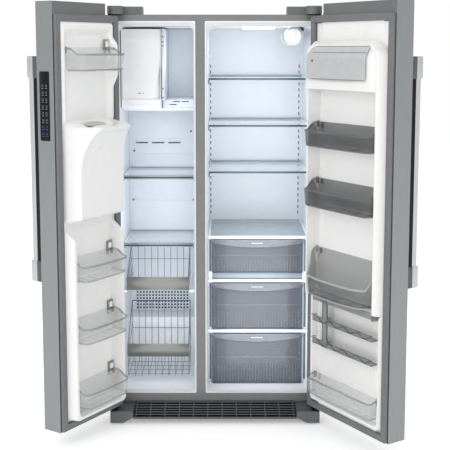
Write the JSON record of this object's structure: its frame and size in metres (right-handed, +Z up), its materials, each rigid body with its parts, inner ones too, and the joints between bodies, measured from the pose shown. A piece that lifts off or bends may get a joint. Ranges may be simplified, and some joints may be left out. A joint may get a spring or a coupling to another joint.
{
  "type": "side by side refrigerator",
  "caption": "Tall stainless side by side refrigerator with freezer and fridge doors open, door bins, shelves, wire baskets, crisper drawers, ice bin and dispenser.",
  "frame": {"origin": "middle of the footprint of the refrigerator with its doors open, on the floor", "axes": "+Z up, the front and the doors towards -Y, +X to the right of a person facing the refrigerator"},
  "size_m": [1.5504, 1.1037, 1.803],
  "materials": {
    "case_paint": "satin grey paint",
    "stainless": "brushed stainless steel",
    "bright_steel": "bright brushed stainless steel",
    "grey_plastic": "satin grey",
    "white_plastic": "satin white",
    "clear_plastic": "clear",
    "smoked_plastic": "smoked clear",
    "drawer_plastic": "blue-grey clear",
    "shelf_glass": "polished",
    "black_glass": "gloss black",
    "black_steel": "satin black",
    "gasket_rubber": "soft matt grey",
    "foam": "rigid insulation foam",
    "door_core": "rigid insulation foam with grey end caps",
    "zinc": "zinc plated",
    "copper": "drawn copper",
    "nylon": "matt dark",
    "basket_wire": "coated white wire"
  },
  "bodies": {
    "cabinet": {"cabinet_wrapper": "case_paint", "back_panel": "zinc", "insulation_foam": "foam", "freezer_liner": "white_plastic", "fridge_liner": "white_plastic", "base_frame": "zinc", "toe_grille": "grey_plastic", "compressor": "black_steel", "condenser_coil": "copper", "top_hinge_left": "black_steel", "top_hinge_right": "black_steel", "hinge_cover_left": "grey_plastic", "hinge_cover_right": "grey_plastic", "bottom_hinge_left": "black_steel", "bottom_hinge_right": "black_steel", "evaporator_cover": "white_plastic", "evaporator_coil": "zinc", "ice_maker": "grey_plastic", "freezer_shelf_upper": "shelf_glass", "freezer_shelf_lower": "shelf_glass", "glass_shelf_1": "shelf_glass", "glass_shelf_2": "shelf_glass", "glass_shelf_3": "shelf_glass", "crisper_frame": "white_plastic"},
    "rollers": {"rear_rollers": "nylon"},
    "fan": {"condenser_fan": "nylon"},
    "left_leg": {"levelling_leg_left": "nylon"},
    "right_leg": {"levelling_leg_right": "nylon"},
    "ice_bin": {"ice_bin": "white_plastic"},
    "auger": {"ice_auger": "bright_steel"},
    "upper_basket": {"freezer_basket_upper": "basket_wire"},
    "lower_basket": {"freezer_basket_lower": "basket_wire"},
    "upper_drawer": {"crisper_drawer_1": "drawer_plastic"},
    "middle_drawer": {"crisper_drawer_2": "drawer_plastic"},
    "lower_drawer": {"crisper_drawer_3": "drawer_plastic"},
    "filter": {"water_filter": "white_plastic"},
    "freezer_door": {"freezer_door_skin": "stainless", "freezer_door_core": "door_core", "freezer_door_liner": "white_plastic", "freezer_door_gasket": "gasket_rubber", "freezer_door_handle": "bright_steel", "control_panel": "black_glass", "dispenser_housing": "black_glass", "freezer_door_bin_1": "clear_plastic", "freezer_door_bin_2": "clear_plastic", "freezer_door_bin_3": "clear_plastic", "freezer_door_bin_4": "clear_plastic"},
    "paddle": {"dispenser_paddle": "nylon"},
    "fridge_door": {"fridge_door_skin": "stainless", "fridge_door_core": "door_core", "fridge_door_liner": "white_plastic", "fridge_door_gasket": "gasket_rubber", "fridge_door_handle": "bright_steel", "dairy_housing": "white_plastic", "can_rack": "smoked_plastic", "fridge_door_bin_1": "smoked_plastic", "fridge_door_bin_2": "smoked_plastic", "fridge_door_bin_3": "smoked_plastic", "fridge_door_bin_4": "smoked_plastic"},
    "dairy_cover": {"dairy_cover": "smoked_plastic"}
  },
  "joints": [
    {"name": "freezer_door_hinge", "type": "hinge", "parent": "cabinet", "child": "freezer_door", "pos_m": [-0.4748, -0.107, 0.9], "axis": [0, 0, -1], "range_deg": [-123.2, 7]},
    {"name": "fridge_door_hinge", "type": "hinge", "parent": "cabinet", "child": "fridge_door", "pos_m": [0.4088, -0.107, 0.9], "axis": [0, 0, 1], "range_deg": [-122.5, 7]},
    {"name": "paddle_hinge", "type": "hinge", "parent": "freezer_door", "child": "paddle", "pos_m": [-0.57142, -0.26104, 1.232], "axis": [-0.5476, -0.8368, 0], "range_deg": [0, 12], "stiffness_Nm_per_rad": 0.6},
    {"name": "dairy_cover_hinge", "type": "hinge", "parent": "fridge_door", "child": "dairy_cover", "pos_m": [0.34361, -0.20438, 1.632], "axis": [-0.5373, 0.8434, 0], "range_deg": [0, 80]},
    {"name": "ice_bin_slide", "type": "slide", "parent": "cabinet", "child": "ice_bin", "axis": [0, -1, 0], "range_m": [0, 0.11]},
    {"name": "auger_spin", "type": "hinge", "parent": "ice_bin", "child": "auger", "pos_m": [-0.358, 0.068, 1.398], "axis": [0, -1, 0], "continuous": true},
    {"name": "upper_basket_slide", "type": "slide", "parent": "cabinet", "child": "upper_basket", "axis": [0, -1, 0], "range_m": [0, 0.19]},
    {"name": "lower_basket_slide", "type": "slide", "parent": "cabinet", "child": "lower_basket", "axis": [0, -1, 0], "range_m": [0, 0.19]},
    {"name": "upper_drawer_slide", "type": "slide", "parent": "cabinet", "child": "upper_drawer", "axis": [0, -1, 0], "range_m": [0, 0.19]},
    {"name": "middle_drawer_slide", "type": "slide", "parent": "cabinet", "child": "middle_drawer", "axis": [0, -1, 0], "range_m": [0, 0.19]},
    {"name": "lower_drawer_slide", "type": "slide", "parent": "cabinet", "child": "lower_drawer", "axis": [0, -1, 0], "range_m": [0, 0.19]},
    {"name": "filter_turn", "type": "hinge", "parent": "cabinet", "child": "filter", "pos_m": [0.312, 0.034, 1.674], "axis": [0, -1, 0], "range_deg": [0, 90]},
    {"name": "fan_spin", "type": "hinge", "parent": "cabinet", "child": "fan", "pos_m": [0.027, 0.438, 0.15], "axis": [0, 1, 0], "continuous": true},
    {"name": "rollers_spin", "type": "hinge", "parent": "cabinet", "child": "rollers", "pos_m": [-0.033, 0.498, 0.018], "axis": [1, 0, 0], "continuous": true},
    {"name": "left_leg_turn", "type": "hinge", "parent": "cabinet", "child": "left_leg", "pos_m": [-0.453, -0.032, 0.02], "axis": [0, 0, 1], "continuous": true},
    {"name": "right_leg_turn", "type": "hinge", "parent": "cabinet", "child": "right_leg", "pos_m": [0.387, -0.032, 0.02], "axis": [0, 0, 1], "continuous": true}
  ]
}
